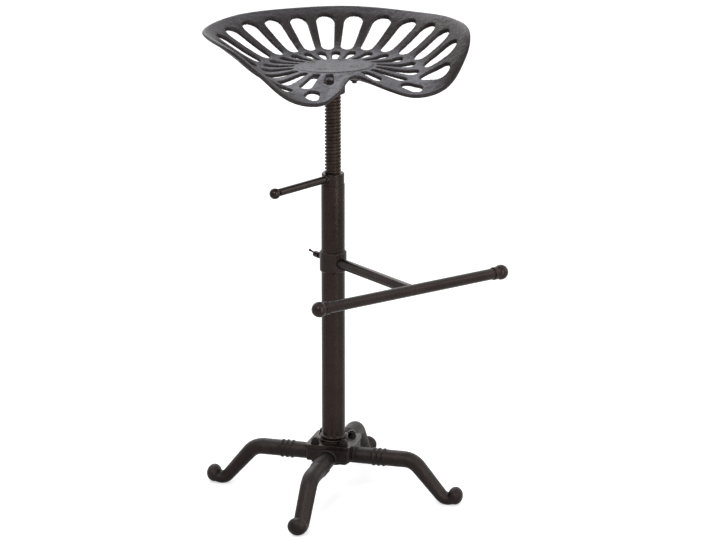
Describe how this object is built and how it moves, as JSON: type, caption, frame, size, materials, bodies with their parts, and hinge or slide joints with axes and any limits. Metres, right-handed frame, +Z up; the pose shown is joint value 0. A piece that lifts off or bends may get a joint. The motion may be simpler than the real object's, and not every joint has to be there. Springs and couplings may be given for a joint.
{
  "type": "tractor seat stool",
  "caption": "Adjustable cast-iron stool: pierced bucket seat on a lead screw, round column with lock lever, splayed-leg base and a T-shaped footrest on a clamped collar.",
  "frame": {"origin": "on the floor, on the column's axis, midway between the four feet", "axes": "+Z up along the column; -Y is the front, the side that the sitter faces; the legs point along the diagonals of X and Y; at rest the seat is turned -8 degrees and the footrest +6.7 degrees about +Z"},
  "size_m": [0.4524, 0.4625, 0.8304],
  "materials": {
    "base_iron": "satin blackened casting",
    "column_iron": "satin blackened casting",
    "seat_iron": "satin blackened casting, rubbed",
    "footrest_iron": "satin blackened",
    "screw_steel": "oiled, browned",
    "bolt_steel": "blackened",
    "lever_steel": "blackened",
    "pad_brass": "plain"
  },
  "bodies": {
    "stand": {"base_spider": "base_iron", "base_bolts": "bolt_steel", "base_washers": "bolt_steel", "base_nuts": "bolt_steel", "column": "column_iron", "column_nut": "column_iron", "column_grub_screw": "bolt_steel", "lock_pad": "pad_brass"},
    "screw_lift": {"stop_washer": "bolt_steel"},
    "seat": {"lead_screw": "screw_steel", "stop_screw": "bolt_steel", "seat_flange": "seat_iron", "flange_pin": "bolt_steel", "seat_pan": "seat_iron", "seat_bolts": "bolt_steel", "seat_washers": "bolt_steel", "seat_nuts": "bolt_steel"},
    "footrest": {"footrest_bracket": "footrest_iron", "footrest_bar": "footrest_iron", "footrest_balls": "footrest_iron", "thumb_pad": "pad_brass"},
    "lock_handle": {"lock_lever": "lever_steel", "lock_lever_ball": "lever_steel"},
    "clamp_screw": {"thumb_screw": "lever_steel"},
    "clamp_bar": {"tommy_bar": "lever_steel"}
  },
  "joints": [
    {"name": "seat_lift", "type": "slide", "parent": "stand", "child": "screw_lift", "axis": [0, 0, 1], "range_m": [-0.1381, 0.0601]},
    {"name": "seat_spin", "type": "hinge", "parent": "screw_lift", "child": "seat", "pos_m": [0, 0, 0.6], "axis": [0, 0, 1], "range_deg": [-8280, 3600]},
    {"name": "footrest_slide", "type": "slide", "parent": "stand", "child": "footrest", "axis": [0, 0, 1], "range_m": [-0.285, 0.113]},
    {"name": "lock_turn", "type": "hinge", "parent": "stand", "child": "lock_handle", "pos_m": [0, 0, 0.5705], "axis": [-0.9397, -0.342, 0], "range_deg": [-60, 270]},
    {"name": "clamp_turn", "type": "hinge", "parent": "footrest", "child": "clamp_screw", "pos_m": [0, 0, 0.4232], "axis": [-0.1167, 0.9932, 0], "range_deg": [-60, 270]},
    {"name": "clamp_bar_slide", "type": "slide", "parent": "clamp_screw", "child": "clamp_bar", "axis": [-0.8185, -0.0962, 0.5664], "range_m": [-0.012, 0.012]}
  ],
  "couplings": [
    {"joint": "seat_lift", "follows": "seat_spin", "m_per_rad": 0.00095493}
  ]
}
